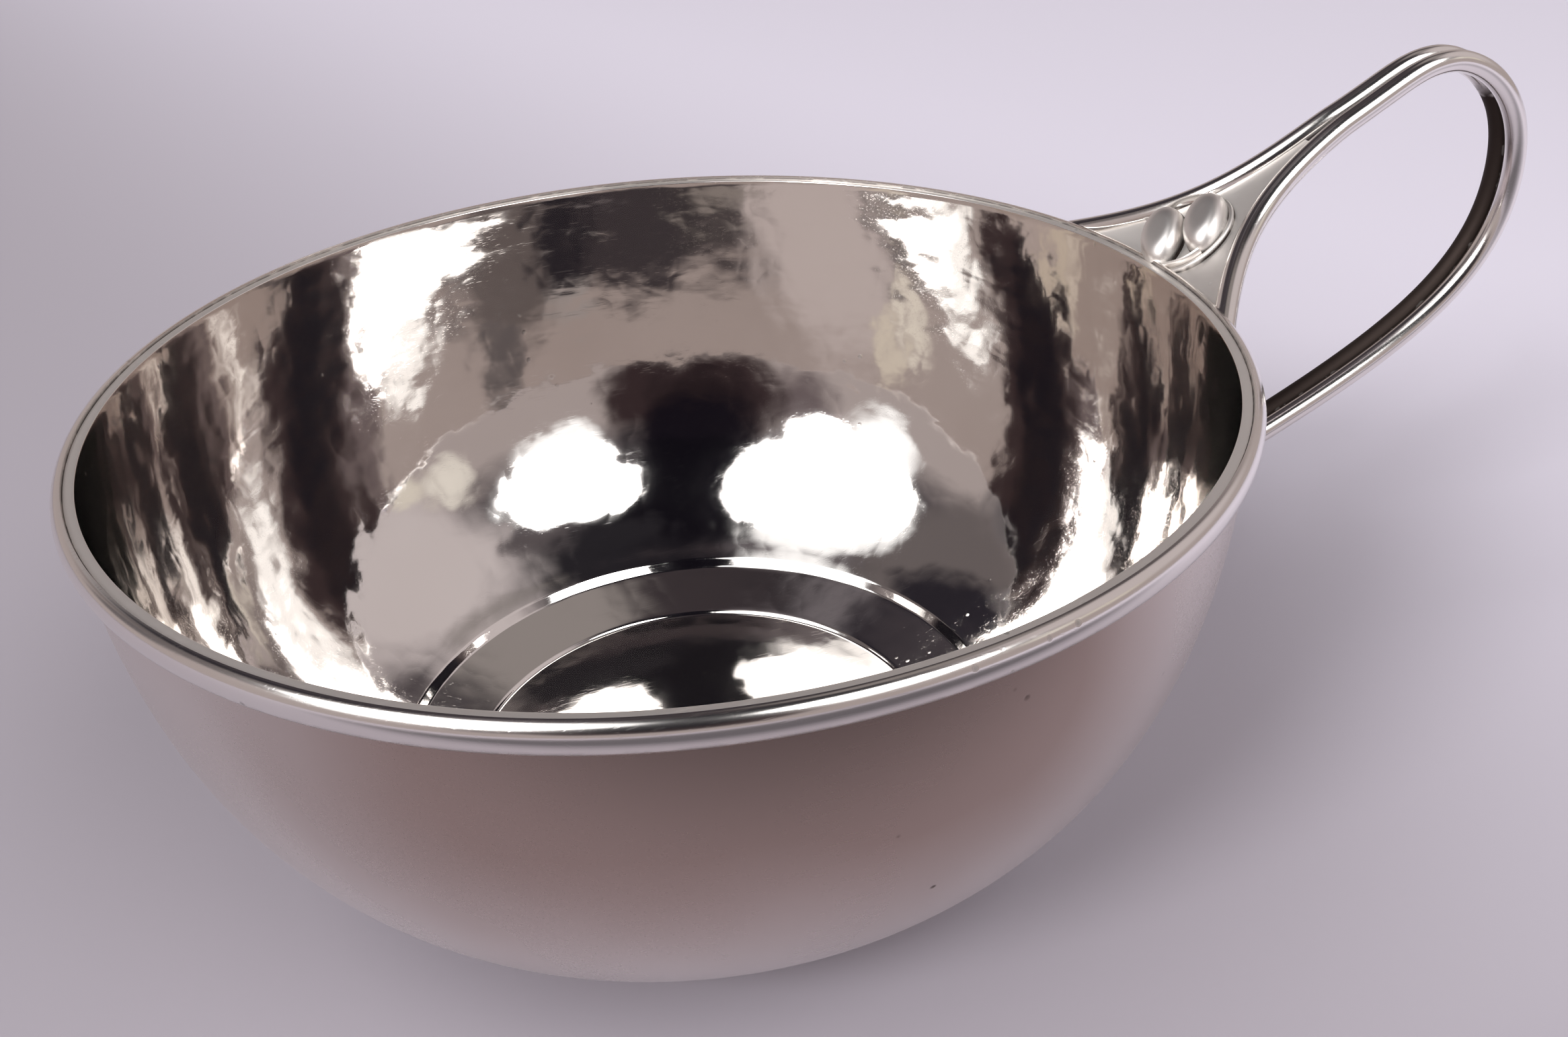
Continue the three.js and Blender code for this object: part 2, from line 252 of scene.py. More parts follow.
def inner_line(bowl, outer):
    """Inner face from the axis to the lip: domed floor, ledge, small step and wall."""
    wall = parallel(outer, bowl.sheet)[BASE_POINTS + 2 * BEND_POINTS + 1:]
    down = (wall[0] - wall[1]).normalized()
    foot = wall[0] + down * max((wall[0].y - bowl.ledge_height) * FOOT_REACH, 0.0)
    edge = Vector((bowl.well_radius, bowl.well_height))
    bank = Vector((bowl.well_radius + bowl.well_step, bowl.well_height + bowl.well_step))
    ledge = Vector((bowl.ledge_radius, bowl.ledge_height))
    floor = []
    for i in range(BASE_POINTS):
        share_out = i / BASE_POINTS
        floor.append(Vector((edge.x * share_out,
                             edge.y + bowl.floor_dome * (1 - share_out ** 2))))
    middle = [bank.lerp(ledge, i / LEDGE_STEPS) for i in range(1, LEDGE_STEPS)]
    lower = rounded([floor[-1], edge, bank, middle[0]], WELL_SOFTNESS)[1:-1]
    upper = rounded([middle[-1], ledge, foot, wall[0]], LEDGE_SOFTNESS)[1:-1]
    return floor + lower + middle + upper + wall


def parallel(line, distance):
    """Line beside an open line, on its left for a positive distance."""
    normals = []
    for a, b in zip(line, line[1:]):
        along = (b - a).normalized()
        normals.append(Vector((-along.y, along.x)))
    points = []
    for i, point in enumerate(line):
        before = normals[max(i - 1, 0)]
        after = normals[min(i, len(normals) - 1)]
        mitre = (before + after).normalized()
        points.append(point + mitre * (distance / mitre.dot(after)))
    return points


class HandleLine:
    """Surface that the handle follows: a line in the middle plane, swept round the bowl's axis."""

    RUN_IN = 4.0 * MM  # straight start before the landing
    BEZIER_POINTS = 300  # points of each of its four bends

    def __init__(self, scene):
        bowl, rim, handle = scene.porringer_bowl, scene.porringer_rim, scene.porringer_handle
        outer = bowl.lip_radius + bowl.sheet
        rim_middle = bowl.height + rim.proud - rim.height / 2

        def place(out, up):
            return Vector((outer + out, 0.0, bowl.height + up))

        def reach(point, lean, distance):
            return point + Vector((math.cos(lean), 0.0, math.sin(lean))) * (distance * MM)

        landing = Vector((outer + rim.seam + rim.bulge / 2, 0.0, rim_middle - handle.landing_drop))
        leg = place(handle.leg_out, handle.leg_up)
        top = place(handle.top_out, handle.top_up)
        far = place(handle.far_out, handle.far_up)
        foot = Vector((wall_radius(bowl, handle.foot_height) - bowl.sheet, 0.0, handle.foot_height))
        level, upright = 0.0, math.pi / 2
        bends = (
            (landing, reach(landing, handle.landing_angle, 7.6),
             reach(leg, handle.leg_angle, -3.2), leg),
            (leg, reach(leg, handle.leg_angle, 8.0), reach(top, level, -4.0), top),
            (top, reach(top, level, 4.0), reach(far, upright, 10.4), far),
            (far, reach(far, upright, -17.5), reach(foot, handle.foot_angle, 38.0), foot),
        )
        self.points = [reach(landing, handle.landing_angle, -self.RUN_IN / MM)]
        for knots in bends:
            curve = interpolate_bezier(*knots, self.BEZIER_POINTS)
            self.points += [Vector(p) for p in curve[:-1]]
        self.points.append(foot)
        self.reached = [-self.RUN_IN]
        for a, b in zip(self.points, self.points[1:]):
            self.reached.append(self.reached[-1] + (b - a).length)
        self.handle = handle
        self.end = self.reached[-1]

    def at(self, out):
        """Point of the line and its direction, at a distance along it from the rim."""
        low = min(max(bisect_right(self.reached, out) - 1, 0), len(self.reached) - 2)
        a, b = self.points[low:low + 2]
        start, end = self.reached[low:low + 2]
        return a.lerp(b, (out - start) / (end - start)), (b - a).normalized()

    def on_surface(self, out, aside, over):
        """Point at a distance along, aside to the left round the axis, and over the surface."""
        point, along = self.at(out)
        radius = point.x - along.z * over
        turn = aside / point.x
        return Vector((radius * math.cos(turn), radius * math.sin(turn),
                       point.z + along.x * over))

    def spread(self, side, out):
        """Distance of a wire's centre from the middle plane: side is 1 on the left, -1 right."""
        handle = self.handle
        pair = (handle.wire + handle.seam) / 2
        landing = handle.left_spread if side > 0 else handle.right_spread
        open_share = max(1 - out / handle.flare_length, 0.0)
        return pair + (landing - pair) * open_share ** handle.flare_curve


# Meshes


def spun(line, steps, closed=False):
    """Mesh of a (radius, height) line turned about the bowl's axis."""
    bm = bmesh.new()
    verts = [bm.verts.new((p.x, 0.0, p.y)) for p in line]
    edges = [bm.edges.new(pair) for pair in zip(verts, verts[1:])]
    if closed:
        edges.append(bm.edges.new((verts[-1], verts[0])))
    bmesh.ops.spin(bm, geom=verts + edges, axis=(0, 0, 1), angle=math.tau, steps=steps,
                   use_merge=True)
    bmesh.ops.remove_doubles(bm, verts=bm.verts, dist=WELD)
    bmesh.ops.recalc_face_normals(bm, faces=bm.faces)
    return bm


def finished(name, bm, materials):
    """Piece made of a mesh, riding on the body, with its materials."""
    mesh = bpy.data.meshes.new(name)
    bm.to_mesh(mesh)
    bm.free()
    for material in materials:
        mesh.materials.append(material)
    mesh.shade_smooth()
    mesh.set_sharp_from_angle(angle=SHARP)
    piece = bpy.data.objects.new(name, mesh)
    bpy.context.scene.collection.objects.link(piece)
    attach(piece, BODY)
    return piece


def smooth_step(low, high, value):
    """0 at the low value, 1 at the high one, and a soft change between them."""
    part = min(max((value - low) / (high - low), 0.0), 1.0)
    return part * part * (3 - 2 * part)


def tube(points, radius, sides):
    """Mesh of a round wire along a line of points, open at both ends."""
    curve = bpy.data.curves.new("wire_line", "CURVE")
    curve.dimensions = "3D"
    curve.bevel_depth = radius
    curve.bevel_resolution = sides // 4 - 1
    spline = curve.splines.new("POLY")
    spline.points.add(len(points) - 1)
    for place, point in zip(spline.points, points):
        place.co = (*point, 1.0)
    holder = bpy.data.objects.new("wire_line", curve)
    bpy.context.scene.collection.objects.link(holder)
    bm = bmesh.new()
    made = holder.evaluated_get(bpy.context.evaluated_depsgraph_get())
    mesh = bpy.data.meshes.new_from_object(made)
    bm.from_mesh(mesh)
    bpy.data.objects.remove(holder)
    bpy.data.curves.remove(curve)
    bpy.data.meshes.remove(mesh)
    bmesh.ops.remove_doubles(bm, verts=bm.verts, dist=WELD)
    return bm


def cut_end(bm, near, place, facing):
    """Cut a wire's end by a plane, among the faces for which near is true, and close it."""
    faces = [f for f in bm.faces if near(f.calc_center_median())]
    geom = [*{v for f in faces for v in f.verts}, *{e for f in faces for e in f.edges}, *faces]
    bmesh.ops.bisect_plane(bm, geom=geom, plane_co=place, plane_no=facing, clear_inner=True)
    rim = [e for e in bm.edges if e.is_boundary and near((e.verts[0].co + e.verts[1].co) / 2)]
    bmesh.ops.edgeloop_fill(bm, edges=rim)


# Materials


def fill(tree, node, values):
    """Give a node's inputs, by name or number, each a link from a socket or a plain value."""
    for key, value in values.items():
        if isinstance(value, bpy.types.NodeSocket):
            tree.links.new(value, node.inputs[key])
        else:
            node.inputs[key].default_value = value


def group_node(tree, vector, name, values):
    """Outputs of a shared effect, placed in a material with its own values."""
    node = tree.nodes.new("ShaderNodeGroup")
    node.node_tree = bpy.data.node_groups[name]
    fill(tree, node, {"Vector": vector, **values})
    return node.outputs


def math_node(tree, operation, *values, clamp=False):
    """Math node, with each input a socket or a number."""
    node = tree.nodes.new("ShaderNodeMath")
    node.operation = operation
    node.use_clamp = clamp
    fill(tree, node, dict(enumerate(values)))
    return node.outputs[0]


def product(tree, first, second):
    """Product of two numbers, each a socket or plain."""
    return math_node(tree, "MULTIPLY", first, second)


def vector_node(tree, operation, *values):
    """Vector math node, with each input a socket or three numbers."""
    node = tree.nodes.new("ShaderNodeVectorMath")
    node.operation = operation
    fill(tree, node, dict(enumerate(values)))
    number = operation in {"DOT_PRODUCT", "LENGTH", "DISTANCE"}
    return node.outputs["Value" if number else "Vector"]


def split_node(tree, vector):
    """Outputs X, Y and Z of a vector."""
    node = tree.nodes.new("ShaderNodeSeparateXYZ")
    fill(tree, node, {"Vector": vector})
    return node.outputs


def range_node(tree, value, low, high, to_low, to_high):
    """Map a value smoothly from one range to another."""
    node = tree.nodes.new("ShaderNodeMapRange")
    node.interpolation_type = "SMOOTHSTEP"
    fill(tree, node, {"Value": value, "From Min": low, "From Max": high, "To Min": to_low,
                      "To Max": to_high})
    return node.outputs["Result"]


def noise_node(tree, vector, scale, detail=2.0, rough=0.5, warp=0.0, output="Fac"):
    """Noise texture on a vector."""
    node = tree.nodes.new("ShaderNodeTexNoise")
    fill(tree, node, {"Vector": vector, "Scale": scale, "Detail": detail, "Roughness": rough,
                      "Distortion": warp})
    return node.outputs[output]


def mix_node(tree, factor, *tints):
    """Mix of two colours, each a socket or three numbers."""
    node = tree.nodes.new("ShaderNodeMix")
    node.data_type = "RGBA"
    first, second = (tint if isinstance(tint, bpy.types.NodeSocket) else (*tint, 1.0)
                     for tint in tints)
    fill(tree, node, {"Factor": factor, 6: first, 7: second})
    return node.outputs[2]


def mapped(tree, vector, scale, turn=(0.0, 0.0, 0.0)):
    """Vector turned and scaled."""
    node = tree.nodes.new("ShaderNodeMapping")
    fill(tree, node, {"Vector": vector, "Scale": scale, "Rotation": turn})
    return node.outputs["Vector"]


def new_group(name, inputs, outputs):
    """Node group with a vector input, number inputs and number outputs."""
    tree = bpy.data.node_groups.new(name, "ShaderNodeTree")
    tree.interface.new_socket("Vector", in_out="INPUT", socket_type="NodeSocketVector")
    for key, value in inputs.items():
        socket = tree.interface.new_socket(key, in_out="INPUT", socket_type="NodeSocketFloat")
        socket.default_value = value
    for key in outputs:
        tree.interface.new_socket(key, in_out="OUTPUT", socket_type="NodeSocketFloat")
    return tree, tree.nodes.new("NodeGroupInput").outputs, tree.nodes.new("NodeGroupOutput")


def planishing_group():
    """Shallow dished marks of a planishing hammer and the fine ripple between them."""
    tree, source, result = new_group(
        "Planishing", {"Facet": 6 * MM, "Depth": 30 * MICRON, "Ripple": 4 * MICRON}, ["Height"])
    cells = tree.nodes.new("ShaderNodeTexVoronoi")
    cells.feature = "SMOOTH_F1"
    fill(tree, cells, {"Vector": source["Vector"], "Smoothness": 0.35,
                       "Scale": math_node(tree, "DIVIDE", 1.0, source["Facet"])})
    dish = math_node(tree, "POWER", cells.outputs["Distance"], 2.0)
    marks = product(tree, dish, source["Depth"])
    dabs = mapped(tree, source["Vector"], (190.0, 190.0, 480.0))
    ripple = noise_node(tree, dabs, 1.0, 1.5, 0.45, 0.4)
    fill(tree, result, {
        "Height": math_node(tree, "MULTIPLY_ADD", ripple, source["Ripple"], marks)})


def turning_group():
    """Fine rings that polishing on a wheel left on the bowl's floor and ledge."""
    tree, source, result = new_group("Turning", {"Depth": 0.4 * MICRON}, ["Height"])
    flat = vector_node(tree, "MULTIPLY", source["Vector"], (1.0, 1.0, 0.0))
    radius = vector_node(tree, "LENGTH", flat)
    place = tree.nodes.new("ShaderNodeCombineXYZ")
    fill(tree, place, {"X": product(tree, radius, 2600.0)})
    rings = noise_node(tree, place.outputs[0], 1.0, 3.0, 0.6)
    within = range_node(tree, radius, 33.5 * MM, 35.0 * MM, 1.0, 0.0)
    fill(tree, result, {"Height": product(tree, product(tree, rings, source["Depth"]), within)})


def scratches_group():
    """Hairline scratches that run in a few directions."""
    tree, source, result = new_group("Scratches", {"Amount": 0.5}, ["Mask"])
    total = None
    for turn, stretch in (((0.3, 0.2, 0.5), (260, 4000, 4000)),
                          ((1.1, 0.7, 2.0), (300, 5000, 5000)),
                          ((0.2, 2.1, 1.2), (200, 3500, 3500))):
        lines = noise_node(tree, mapped(tree, source["Vector"], stretch, turn), 1.0, 1.0)
        thin = range_node(tree, lines, 0.66, 0.74, 0.0, 1.0)
        total = thin if total is None else math_node(tree, "MAXIMUM", total, thin)
    fill(tree, result, {"Mask": product(tree, total, source["Amount"])})


def tarnish_group():
    """Cloudy tarnish film and small dark pits."""
    tree, source, result = new_group("Tarnish", {"Film": 0.5, "Pits": 0.5}, ["Film", "Pits"])
    vector = source["Vector"]
    cloud = range_node(tree, noise_node(tree, vector, 24.0, 3.0, 0.45, 0.3), 0.2, 0.85, 0.0, 1.0)
    dots = tree.nodes.new("ShaderNodeTexVoronoi")
    fill(tree, dots, {"Vector": vector, "Scale": 420.0})
    small = range_node(tree, dots.outputs["Distance"], 0.05, 0.17, 1.0, 0.0)
    places = range_node(tree, noise_node(tree, vector, 60.0, 3.0), 0.60, 0.68, 0.0, 1.0)
    pits = product(tree, small, places)
    fill(tree, result, {"Film": product(tree, cloud, source["Film"]),
                        "Pits": product(tree, pits, source["Pits"])})


def new_material(name):
    """Material with its node tree and its shader."""
    material = bpy.data.materials.new(name)
    material.use_nodes = True
    return material, material.node_tree, material.node_tree.nodes["Principled BSDF"]


def silver_material(name, finish, roughness, facet_depth=MICRON, ripple=MICRON, scratch=0.2,
                    film=0.2, pits=0.5, painted_top_shade=0.0, rings=0.0):
    """Silver with hammer marks, hairlines, pits, dark seams, painted shade in creases and a film of
    tarnish.

    As painted shade for a dark reflection, the film colour is laid on thicker under the rim, by an
    amount given as an argument, most of all where the bowl faces the front.
    """
    material, tree, shader = new_material(name)
    vector = tree.nodes.new("ShaderNodeTexCoord").outputs["Object"]
    marks = group_node(tree, vector, "Planishing",
                       {"Facet": finish.facet, "Depth": facet_depth, "Ripple": ripple})
    hairs = group_node(tree, vector, "Scratches", {"Amount": scratch})["Mask"]
    tarnish = group_node(tree, vector, "Tarnish", {"Film": film, "Pits": pits})
    turned = group_node(tree, vector, "Turning", {"Depth": rings})

    # Painted shade: the film colour is laid thicker under the rim, most where the outside faces the
    # front, standing for a dark reflection.
    upper = range_node(tree, split_node(tree, vector)["Z"], 4 * MM, 46 * MM, 0.0, painted_top_shade)
    facing = vector_node(tree, "DOT_PRODUCT", vector, (-0.20, -0.98, 0.0))
    in_front = range_node(tree, facing, 40 * MM, 57 * MM, 0.36, 1.0)
    film_and_shade = math_node(tree, "ADD", tarnish["Film"], product(tree, upper, in_front), clamp=True)
    filmed_and_shaded = mix_node(tree, film_and_shade, finish.silver, finish.film)

    # Dark seams and painted shade from the vertex attribute, broken up by noise.
    tarnish_and_shade = tree.nodes.new("ShaderNodeAttribute")
    tarnish_and_shade.attribute_name = TARNISH_AND_SHADE
    broken = range_node(tree, noise_node(tree, vector, 420.0, 2.0, 0.6), 0.36, 0.56, 0.40, 1.0)
    seams_and_shade = math_node(tree, "MULTIPLY", tarnish_and_shade.outputs["Fac"], broken, clamp=True)
    pits_seams_and_shade = math_node(tree, "MAXIMUM", tarnish["Pits"], seams_and_shade)

    rough = math_node(tree, "MULTIPLY_ADD", hairs, 0.12, roughness)
    rough = math_node(tree, "MULTIPLY_ADD", tarnish["Film"], 0.08, rough)
    rough = math_node(tree, "MULTIPLY_ADD", pits_seams_and_shade, 0.5, rough, clamp=True)

    height = math_node(tree, "MULTIPLY_ADD", hairs, -4 * MICRON, marks["Height"])
    height = math_node(tree, "MULTIPLY_ADD", tarnish["Pits"], -40 * MICRON, height)
    height = math_node(tree, "ADD", height, turned["Height"])
    bump = tree.nodes.new("ShaderNodeBump")
    fill(tree, bump, {"Distance": 1.0, "Height": height})
    fill(tree, shader, {"Metallic": 1.0, "Base Color": mix_node(tree, pits_seams_and_shade, filmed_and_shaded, finish.dark),
                        "Roughness": rough, "Normal": bump.outputs["Normal"]})
    return material


def paper_material(studio):
    """Plain paper floor with painted light: painted brightest behind the bowl, with a painted
    shadow close in front of it.
    """
    material, tree, shader = new_material("studio_paper")
    place = tree.nodes.new("ShaderNodeTexCoord").outputs["Object"]
    # Painted light: lighter away to the back and right, where the lamps fall strongest.
    away = vector_node(tree, "DOT_PRODUCT", place, (0.8, 0.3, 0.0))
    light_falloff = range_node(tree, away, -30 * MM, 190 * MM, 1.0, 0.0)
    # Painted shadow close in front of the bowl.
    front = range_node(tree, split_node(tree, place)["Y"], -140 * MM, -62 * MM, 0.70, 0.0)
    apart = vector_node(tree, "DISTANCE", place, (-30 * MM, -160 * MM, 0.0))
    near = range_node(tree, apart, 110 * MM, 420 * MM, 1.0, 0.0)
    dimmed = tree.nodes.new("ShaderNodeVectorMath")
    dimmed.operation = "SCALE"
    fill(tree, dimmed, {0: mix_node(tree, light_falloff, studio.floor, studio.floor_shaded),
                        "Scale": math_node(tree, "SUBTRACT", 1.0, product(tree, front, near))})
    fill(tree, shader, {"Base Color": dimmed.outputs[0], "Roughness": 0.9,
                        "Specular IOR Level": 0.2})
    return material


# Operators


class PORRINGER_OT_bowl(bpy.types.Operator):
    """Make the raised bowl, polished inside and satin outside"""

    bl_idname = "porringer.bowl"
    bl_label = "Bowl"
    LIP_TOP = 0.05 * MM  # faces higher than this under the top belong to the worn lip
    EVEN = 0.05  # share of the height under the lip over which the hammering fades out
    OUTSIDE_FROM, OUTSIDE_FADE = 0.12, 0.2  # shares of the height over which it sets in outside
    WAVE = 17 * MM  # length of the wall's slow unevenness
    FLOOR, FLOOR_SHARE = 31 * MM, 0.35  # within this radius only a share of the marks is left

    def execute(self, context):
        bowl, finish = context.scene.porringer_bowl, context.scene.porringer_finish
        outer = outer_line(bowl)
        inner = inner_line(bowl, outer)
        soft = bowl.lip_softness
        top = bowl.height
        lip = bend(Vector((outer[-1].x, top - soft)), Vector((outer[-1].x, top)),
                   Vector((outer[-1].x - soft, top)), LIP_POINTS)
        lip += bend(Vector((bowl.lip_radius + soft, top)), Vector((bowl.lip_radius, top)),
                    Vector((bowl.lip_radius, top - soft)), LIP_POINTS)
        inner[0].x = 0.0
        bm = spun(outer[:-1] + lip + inner[-2::-1], bowl.around)
        self.hammer(bm, bowl)
        bm.normal_update()
        for face in bm.faces:
            place = face.calc_center_median()
            bright = self.inside(face.normal, place)
            face.material_index = 2 if place.z > top - self.LIP_TOP else 0 if bright else 1
        polished = silver_material("polished_silver", finish, finish.inside_roughness,
                                   finish.facet_depth, ripple=18 * MICRON, scratch=0.15,
                                   film=0.15, pits=0.4, rings=0.6 * MICRON)
        # The satin outside carries the painted shade under its rim.
        satin = silver_material("satin_silver", finish, finish.outside_roughness,
                                finish.facet_depth * 0.06, ripple=0.5 * MICRON, scratch=0.05,
                                film=0.30, pits=1.0, painted_top_shade=0.95)
        worn = silver_material("lip_silver", finish, finish.plate_roughness, scratch=0.3, pits=0.8)
        piece = finished("silver_bowl", bm, [polished, satin, worn])
        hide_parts("bowl")
        return {"FINISHED"}

    @staticmethod
    def inside(normal, place):
        """Whether a normal of the bowl belongs to its inside or to the top of the lip."""
        outward = Vector((place.x, place.y)).normalized()
        return normal.z - normal.x * outward.x - normal.y * outward.y > 0

    def hammer(self, bm, bowl):
        """Dish the inside with overlapping hammer marks, and leave the outside nearly even."""
        bm.normal_update()
        shifts = []
        for vert in bm.verts:
            rise = vert.co.z / bowl.height
            fade = min(max((1.0 - rise) / self.EVEN, 0.0), 1.0)
            slow = noise.noise(vert.co / self.WAVE) * bowl.waviness
            if self.inside(vert.normal, vert.co):
                across = math.hypot(vert.co.x, vert.co.y)
                fade *= self.FLOOR_SHARE if across < self.FLOOR else 1.0
                nearest = noise.voronoi(vert.co / bowl.mark)[0][0]
                dish = bowl.mark_depth * (4 * nearest * nearest - 0.5)
                shifts.append(vert.normal * fade * (dish - abs(slow)))
            else:
                fade *= min(max((rise - self.OUTSIDE_FROM) / self.OUTSIDE_FADE, 0.0), 1.0)
                shifts.append(vert.normal * fade * -abs(slow) * 0.5)
        for vert, shift in zip(bm.verts, shifts):
            vert.co += shift


class PORRINGER_OT_rim(bpy.types.Operator):
    """Make the half-round rim wire"""

    bl_idname = "porringer.rim"
    bl_label = "Rim wire"
    STEPS = 26  # faces over the half-round
    DULL, DULL_FROM, DULL_TO = 0.6, 0.12, 0.46  # painted shade low on it, in parts of its height

    def execute(self, context):
        scene = context.scene
        bowl, rim, finish = scene.porringer_bowl, scene.porringer_rim, scene.porringer_finish
        back = bowl.lip_radius + bowl.sheet
        middle = bowl.height + rim.proud - rim.height / 2
        section = []
        for i in range(self.STEPS + 1):
            turn = math.pi * (i / self.STEPS - 0.5)
            section.append(Vector((back + rim.seam + rim.bulge * math.cos(turn),
                                   middle + rim.height / 2 * math.sin(turn))))
        section.append(Vector((back, bowl.height - rim.seam)))
        section.append(Vector((back, middle - rim.height / 2 + rim.seam)))
        bm = spun(section, bowl.around, closed=True)
        layer = bm.verts.layers.float.new(TARNISH_AND_SHADE)
        for vert in bm.verts:
            # The back against the bowl is the dark solder seam; lower down the wire gets painted
            # shade.
            if math.hypot(vert.co.x, vert.co.y) < back + rim.seam * 0.5:
                vert[layer] = 1.0
            else:
                vert[layer] = self.DULL * smooth_step(
                    rim.height * self.DULL_FROM, rim.height * self.DULL_TO, middle - vert.co.z)
        wire = silver_material("drawn_silver", finish, finish.wire_roughness, scratch=0.3)
        piece = finished("silver_rim_wire", bm, [wire])
        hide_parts("rim_wire")
        return {"FINISHED"}


class PORRINGER_OT_handle(bpy.types.Operator):
    """Make the two handle wires"""

    bl_idname = "porringer.handle"
    bl_label = "Handle wires"
    SIDES, STEP = 32, 0.4 * MM  # faces round a wire and their length along it
    OVERRUN = 2 * MM  # each wire's run past its landing, cut off again
    PAIRED = 30 * MM  # from here along the loop the wires lie side by side

    def execute(self, context):
        scene = context.scene
        bowl, rim, handle = scene.porringer_bowl, scene.porringer_rim, scene.porringer_handle
        line = HandleLine(scene)
        count = int((line.end + self.OVERRUN) / self.STEP)
        rim_plane = bowl.lip_radius + bowl.sheet + rim.seam + rim.bulge * 0.4
        foot = Vector((wall_radius(bowl, handle.foot_height), 0.0, handle.foot_height))
        over = Vector((wall_radius(bowl, handle.foot_height + MM), 0.0, handle.foot_height + MM))
        slope = (over - foot).normalized()
        outward = Vector((slope.z, 0.0, -slope.x))
        for side, name, node in ((1, "silver_wire_left", "handle_wire_left"),
                                 (-1, "silver_wire_right", "handle_wire_right")):
            points = []
            for i in range(count + 1):
                out = -self.OVERRUN + (line.end + self.OVERRUN) * i / count
                points.append(line.on_surface(out, side * line.spread(side, out), 0.0))
            bm = tube(points, handle.wire / 2, self.SIDES)
            self.darken(bm, points, side, line)
            landing = side * line.spread(side, 0.0) / (rim_plane + 0.3 * MM)
            radial = Vector((math.cos(landing), math.sin(landing), 0.0))
            cut_end(bm, lambda p: p.z > bowl.height - 8 * MM and p.x < 64 * MM,
                    radial * rim_plane, radial)
            cut_end(bm, lambda p: p.z < bowl.height / 2 and p.x < 60 * MM,
                    foot - outward * bowl.sheet * 0.4, outward)
            bmesh.ops.recalc_face_normals(bm, faces=bm.faces)
            piece = finished(name, bm, [bpy.data.materials["drawn_silver"]])
            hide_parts(node)
        return {"FINISHED"}

    def darken(self, bm, points, side, line):
        """Darken a wire where it faces the other wire, and the left one on the inside of the loop.
        """
        layer = bm.verts.layers.float.new(TARNISH_AND_SHADE)
        sides = len(bm.verts) // len(points)
        reach = line.end + self.OVERRUN
        towards = Vector((0.0, -side, 0.0))
        for i, vert in enumerate(bm.verts):
            ring = i // sides
            out = -self.OVERRUN + reach * ring / (len(points) - 1)
            away = (vert.co - points[ring]).normalized()
            low, high = (0.86, 0.97) if out > self.PAIRED else (0.95, 0.99)
            dark = smooth_step(low, high, away.dot(towards))
            if side > 0 and out > 42 * MM:
                along = line.at(out)[1]
                inner = Vector((along.z, 0.0, -along.x))
                faces_in = smooth_step(0.10, 0.34, away.dot(inner * 0.95 + towards * -0.2))
                dark = max(dark, 3.0 * faces_in * smooth_step(46 * MM, 58 * MM, out))
            vert[layer] = dark


class PORRINGER_OT_plate(bpy.types.Operator):
    """Make the plate in the fork of the handle"""

    bl_idname = "porringer.plate"
    bl_label = "Plate"
    START, END = 0.3 * MM, 0.55  # its inner edge, and its outer one as a share of the flare
    LIFT_FADE = 1.3 * MM  # over this the rise on to the rim wire dies away

    def execute(self, context):
        scene = context.scene
        plate, finish = scene.porringer_plate, scene.porringer_finish
        line = HandleLine(scene)
        start, end = self.START, scene.porringer_handle.flare_length * self.END
        bm = bmesh.new()
        bmesh.ops.create_grid(bm, x_segments=90, y_segments=48, size=0.5)
        for vert in bm.verts:
            out = start + (end - start) * (vert.co.x + 0.5) ** CROWDING
            left, right = line.spread(1, out), -line.spread(-1, out)
            aside = right + (left - right) * (vert.co.y + 0.5)
            lift = plate.inner_lift * math.exp(-(out / self.LIFT_FADE) ** 2)
            vert.co = line.on_surface(out, aside, plate.rise + lift)
        bmesh.ops.recalc_face_normals(bm, faces=bm.faces)
        bmesh.ops.solidify(bm, geom=bm.faces[:], thickness=plate.thickness)
        bmesh.ops.recalc_face_normals(bm, faces=bm.faces)
        sheet = silver_material("sheet_silver", finish, finish.plate_roughness, scratch=0.25,
                                film=0.40, pits=0.4)
        piece = finished("silver_plate", bm, [sheet])
        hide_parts("handle_plate")
        return {"FINISHED"}


